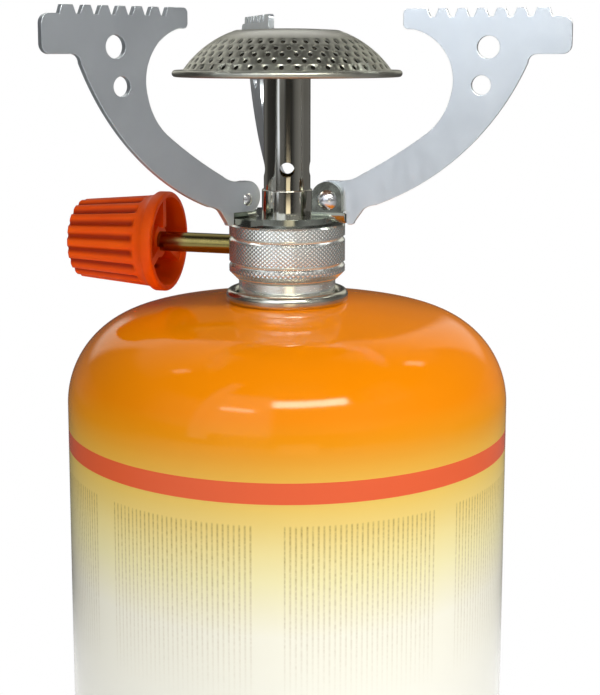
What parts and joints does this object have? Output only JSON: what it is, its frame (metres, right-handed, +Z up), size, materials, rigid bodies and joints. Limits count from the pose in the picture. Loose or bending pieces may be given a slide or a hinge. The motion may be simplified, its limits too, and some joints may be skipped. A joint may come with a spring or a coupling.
{
  "type": "canister stove",
  "caption": "Gas cartridge with a screw-on stove: knurled valve body, side knob, mixing tube, perforated burner head and folding toothed pot supports.",
  "frame": {"origin": "on the axis of the cartridge and burner, at the floor", "axes": "+Z up along the axis; +X along pot support 1; the control knob points along -X"},
  "size_m": [0.125, 0.1202, 0.2188],
  "materials": {
    "can_paint": "gloss orange paint fading to cream",
    "can_steel": "bright tinplate",
    "valve_rubber": "matt black rubber",
    "valve_plastic": "natural acetal",
    "body_metal": "knurled, bright",
    "brass": "machined brass",
    "spindle_zinc": "yellow zinc",
    "knob_plastic": "orange moulded plastic",
    "support_steel": "satin stainless sheet",
    "tube_steel": "polished stainless tube",
    "burner_steel": "warm satin stainless",
    "rivet_steel": "bright rivet"
  },
  "bodies": {
    "canister": {"can_shell": "can_paint", "can_base": "can_steel", "mounting_cup": "can_steel", "can_valve_gasket": "valve_rubber", "can_valve_housing": "valve_plastic", "can_valve_spring": "can_steel"},
    "can_valve": {"can_valve_plunger": "valve_plastic"},
    "inlet_seal": {"inlet_oring": "valve_rubber"},
    "stove": {"valve_body": "body_metal", "actuator_pin": "brass", "jet": "brass", "spindle_gland": "brass", "support_bracket": "support_steel", "tube_sleeve": "tube_steel", "mixing_tube": "tube_steel", "burner_pan": "burner_steel", "burner_cap": "burner_steel", "rivet_1": "rivet_steel", "rivet_2": "rivet_steel", "rivet_3": "rivet_steel"},
    "spindle_seal": {"spindle_oring": "valve_rubber"},
    "control": {"valve_spindle": "spindle_zinc", "knob": "knob_plastic"},
    "support_1": {"pot_support_1": "support_steel"},
    "support_2": {"pot_support_2": "support_steel"},
    "support_3": {"pot_support_3": "support_steel"}
  },
  "joints": [
    {"name": "stove_rise", "type": "slide", "parent": "canister", "child": "inlet_seal", "axis": [0, 0, 1], "range_m": [0, 0.00544]},
    {"name": "stove_turn", "type": "hinge", "parent": "inlet_seal", "child": "stove", "pos_m": [0, 0, 0.15], "axis": [0, 0, 1], "range_deg": [0, 2160]},
    {"name": "can_valve_travel", "type": "slide", "parent": "canister", "child": "can_valve", "axis": [0, 0, 1], "range_m": [0, 0.0015], "deforming": ["can_valve_spring"]},
    {"name": "valve_travel", "type": "slide", "parent": "stove", "child": "spindle_seal", "axis": [-1, 0, 0], "range_m": [0, 0.0012]},
    {"name": "knob_turn", "type": "hinge", "parent": "spindle_seal", "child": "control", "pos_m": [-0.03, 0, 0.1605], "axis": [-1, 0, 0], "range_deg": [0, 540]},
    {"name": "support_1_fold", "type": "hinge", "parent": "stove", "child": "support_1", "pos_m": [0.0116, -0.0022, 0.173], "axis": [0, -1, 0], "range_deg": [0, 24]},
    {"name": "support_2_fold", "type": "hinge", "parent": "stove", "child": "support_2", "pos_m": [-0.00389, 0.01115, 0.173], "axis": [0.866, 0.5, 0], "range_deg": [0, 24]},
    {"name": "support_3_fold", "type": "hinge", "parent": "stove", "child": "support_3", "pos_m": [-0.00771, -0.00895, 0.173], "axis": [-0.866, 0.5, 0], "range_deg": [0, 24]}
  ],
  "couplings": [
    {"joint": "stove_turn", "follows": "stove_rise", "rad_per_m": 6926.3},
    {"joint": "can_valve_travel", "follows": "stove_rise", "ratio": 0.27559},
    {"joint": "knob_turn", "follows": "valve_travel", "rad_per_m": 7854}
  ]
}
